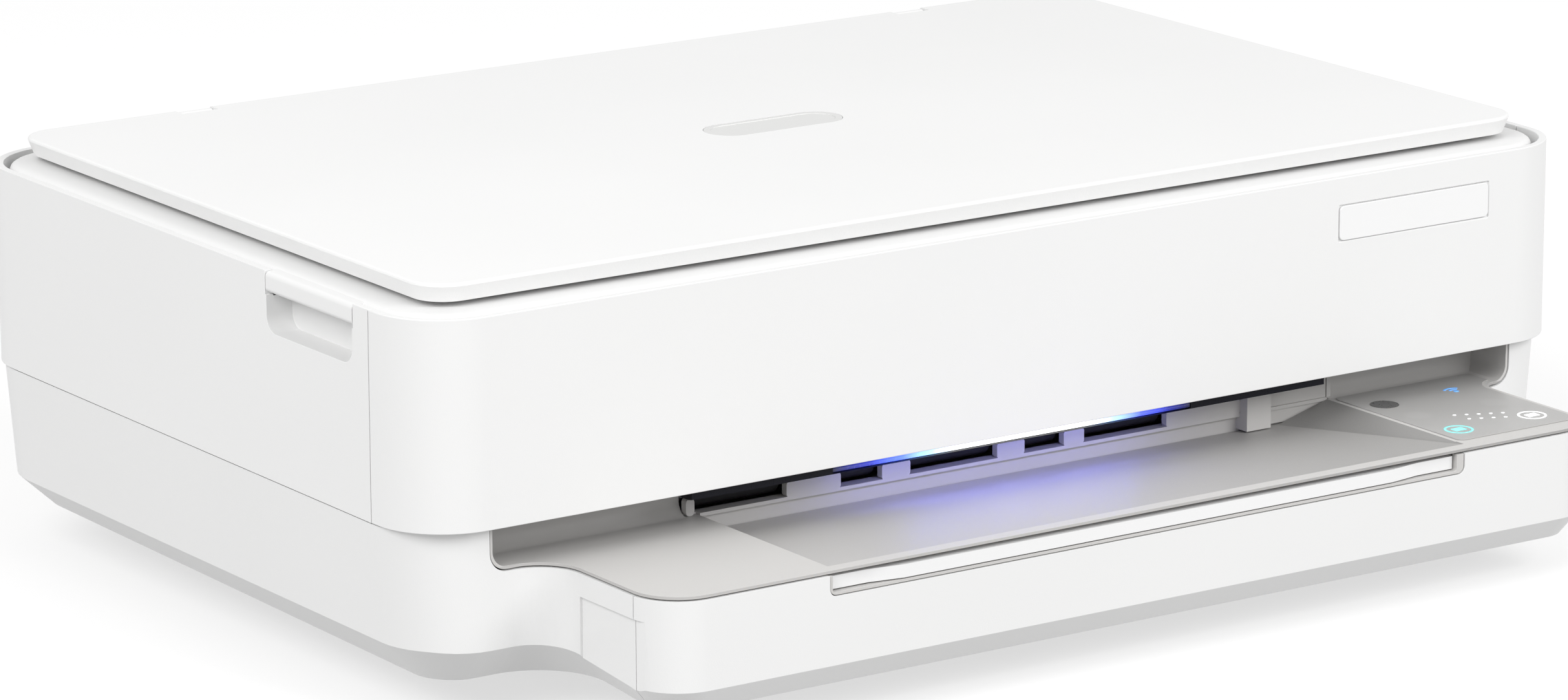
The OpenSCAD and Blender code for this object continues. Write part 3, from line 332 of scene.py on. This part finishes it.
# name: colour, roughness, grain scale, grain depth, colour variation, then coat and specular
PLASTICS = {
    "white_plastic": (WHITE, 0.42, FINE_GRAIN, 0.00005, 0.006),
    "lid_plastic": (LID_WHITE, 0.48, 1700, 0.00010, 0.008),
    "white_gloss": (GLOSS_WHITE, 0.22, FINE_GRAIN, 0.00002, 0.005, 0.2),
    "grey_plastic": (GREY, 0.46, COARSE_GRAIN, 0.00006, 0.015),
    "badge_plastic": (BADGE_GREY, 0.20, FINE_GRAIN, 0.00002, 0.01, 0.4),
    "dark_plastic": (DARK, 0.38, COARSE_GRAIN, 0.00006, 0.10),
    "hood_plastic": (HOOD_BLACK, 0.30, COARSE_GRAIN, 0.00003, 0.10, 0.0, 0.15),
    "black_plastic": (BLACK, 0.36, COARSE_GRAIN, 0.00006, 0.10),
    "gear_plastic": (GEAR_CREAM, 0.35, COARSE_GRAIN, 0.00003, 0.02),
    "foam": (FOAM_WHITE, 0.7, 1200, 0.00012, 0.01),
}
MATS = {name: moulded(name, *look) for name, look in PLASTICS.items()}
MATS.update({
    # the deck's material carries painted shade in its channel and on its bank
    "deck_plastic_painted_shade": painted_shade_deck_mat("deck_plastic_painted_shade", GREY),
    "panel_plastic": panel_mat("panel_plastic"),
    "icon_ink": icons_mat("icon_ink"),
    "steel": metal("steel", STEEL, 0.32, (1, 12, 12)),
    "brass": metal("brass", BRASS, 0.28),
    "rubber": rubbery("rubber", RUBBER_BLACK),
    "glass": glass_plate("glass"),
    "board": board_mat("board"),
    "light_guide": light_strip("light_guide"),
})
GEAR_X = -0.185    # the shafts carry their gears to the left of this
for shaft, steel_r in (("exit_shaft", 0.0028), ("feed_shaft", 0.0035)):
    lo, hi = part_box(shaft)
    MATS[shaft] = shaft_mat(shaft, (lo[1] + hi[1]) / 2, (lo[2] + hi[2]) / 2, steel_r, GEAR_X)

# ------------------------------------------------------- materials on the pieces
# pieces that look different from the rest of their material slot
SPECIAL = {
    "scanner_lid": "lid_plastic", "lid_badge": "badge_plastic", "output_deck": "deck_plastic_painted_shade",
    "exit_hood": "hood_plastic", "exit_shaft": "exit_shaft", "feed_shaft": "feed_shaft",
}
BEVEL = {
    "scanner_lid": 0.0004, "front_fascia": 0.0010, "side_shell": 0.0008, "lower_body": 0.0006,
    "tray_front": 0.0008, "output_deck": 0.0006, "rear_cover": 0.0015,
    "output_extender": 0.0006, "scanner_frame": 0.0006, "name_plate": 0.0002,
    "lid_badge": 0.00015, "control_panel": 0.00015, "exit_wall": 0.0004,
}
USUAL_BEVEL = 0.0003
NO_BEVEL = {
    "panel_icons", "light_bar", "scanner_glass", "feed_shaft", "exit_shaft", "idler_gear",
    "motor_pinion", "star_wheels", "guide_left", "guide_right", "guide_pinion", "chassis_screws",
}
FLAT_ANGLE = math.radians(0.4)    # triangles that lie flatter than this are joined
EDGE_ANGLE = math.radians(32)     # edges sharper than this are rounded
slot_of = {s["node"]: s["material_slot"] for s in frame["record"]["subparts"]}

for name, o in NODES.items():
    o.data.materials.clear()
    o.data.materials.append(MATS[SPECIAL.get(name, slot_of[name])])
    weld = o.modifiers.new("weld", "WELD")
    weld.merge_threshold = 1e-6
    if name not in NO_BEVEL:
        flat = o.modifiers.new("flat", "DECIMATE")
        flat.decimate_type = "DISSOLVE"
        flat.angle_limit = FLAT_ANGLE
        edge = o.modifiers.new("edge", "BEVEL")
        edge.width = BEVEL.get(name, USUAL_BEVEL)
        edge.segments = 3
        edge.limit_method = "ANGLE"
        edge.angle_limit = EDGE_ANGLE
        edge.use_clamp_overlap = True
        edge.harden_normals = False
        edge.miter_outer = "MITER_ARC"
    for p in o.data.polygons:
        p.use_smooth = True
    normals = o.modifiers.new("wn", "WEIGHTED_NORMAL")
    normals.keep_sharp = True


# ------------------------------------------------------ floor, lights and camera
def add_object(name, data):
    o = bpy.data.objects.new(name, data)
    bpy.context.scene.collection.objects.link(o)
    return o


FLOOR_HALF = 24.0
corners = [(-1, -1), (1, -1), (1, 1), (-1, 1)]
floor_mesh = bpy.data.meshes.new("floor")
floor_mesh.from_pydata([(x * FLOOR_HALF, y * FLOOR_HALF, 0) for x, y in corners],
                       [], [(0, 1, 2, 3)])
floor = add_object("floor", floor_mesh)
paper, _, paper_shader = new_material("floor_paper")
set_inputs(paper_shader, {
    "Base Color": (0.5, 0.5, 0.5, 1), "Roughness": 0.9, "Specular IOR Level": 0.1,
    "Emission Color": (1, 1, 1, 1), "Emission Strength": 0.5})
floor_mesh.materials.append(paper)
# the glowing floor looks white without lighting the chamfered underside
floor.visible_diffuse = False

# soft room light, bright at the horizon, dimmer overhead and darker from below
world = bpy.data.worlds.new("studio")
bpy.context.scene.world = world
world.use_nodes = True
wnt = world.node_tree
_, _, sky_z = xyz(wnt, "Generated")
height = maprange(wnt, sky_z, -1.0, 1.0, 0.0, 1.0)
room = [(0.0, 0.50), (0.47, 0.60), (0.53, 0.80), (1.0, 0.62)]
background = wnt.nodes["Background"]
wnt.links.new(ramp(wnt, height, [(h, (level,) * 3) for h, level in room]),
              background.inputs["Color"])
background.inputs["Strength"].default_value = 1.0


def area(name, loc, target, size, power, color=(1, 1, 1)):
    light = bpy.data.lights.new(name, "AREA")
    light.shape = "RECTANGLE"
    light.size, light.size_y = size
    light.energy = power
    light.color = color
    o = add_object(name, light)
    o.location = loc
    aim = Vector(target) - Vector(loc)
    o.rotation_euler = aim.to_track_quat("-Z", "Y").to_euler()


BODY_MIDDLE = (0, 0, 0.05)
area("key_left", (-2.0, -0.7, 1.7), BODY_MIDDLE, (1.6, 1.4), 35)
area("key_front", (0.9, -2.3, 1.6), BODY_MIDDLE, (1.8, 1.4), 40)
# the edge-lit guide throws a blue streak on the channel floor and on the exit wall
area("guide_glow", (0.0, -0.1225, 0.0572), (0.0, -0.133, 0.044), (0.085, 0.002), 0.008,
     (0.10, 0.12, 1.0))
area("guide_spill", (0.0, -0.1225, 0.0570), (0.0, -0.1075, 0.0500), (0.12, 0.002), 0.010,
     (0.30, 0.30, 1.0))
bpy.context.scene.view_settings.view_transform = "Standard"

CAMERA_AT = Vector((-1.1821, -1.7258, 0.59213))
YAW, PITCH, ROLL = math.radians(34.337), math.radians(14.270), math.radians(-0.123)
SENSOR_MM = 36
FOCAL_IN_WIDTHS = 10487 / 2426
ahead = Vector((math.sin(YAW) * math.cos(PITCH), math.cos(YAW) * math.cos(PITCH),
                -math.sin(PITCH)))
level_right = Vector((math.cos(YAW), -math.sin(YAW), 0))
level_up = level_right.cross(ahead)
right = math.cos(ROLL) * level_right + math.sin(ROLL) * level_up
up = -math.sin(ROLL) * level_right + math.cos(ROLL) * level_up
camera = bpy.data.cameras.new("camera")
camera.sensor_width = SENSOR_MM
camera.lens = SENSOR_MM * FOCAL_IN_WIDTHS
camera.clip_end = 50
camera_object = add_object("camera", camera)
placed = Matrix((right, up, -ahead)).transposed().to_4x4()
placed.translation = CAMERA_AT
camera_object.matrix_world = placed
bpy.context.scene.camera = camera_object
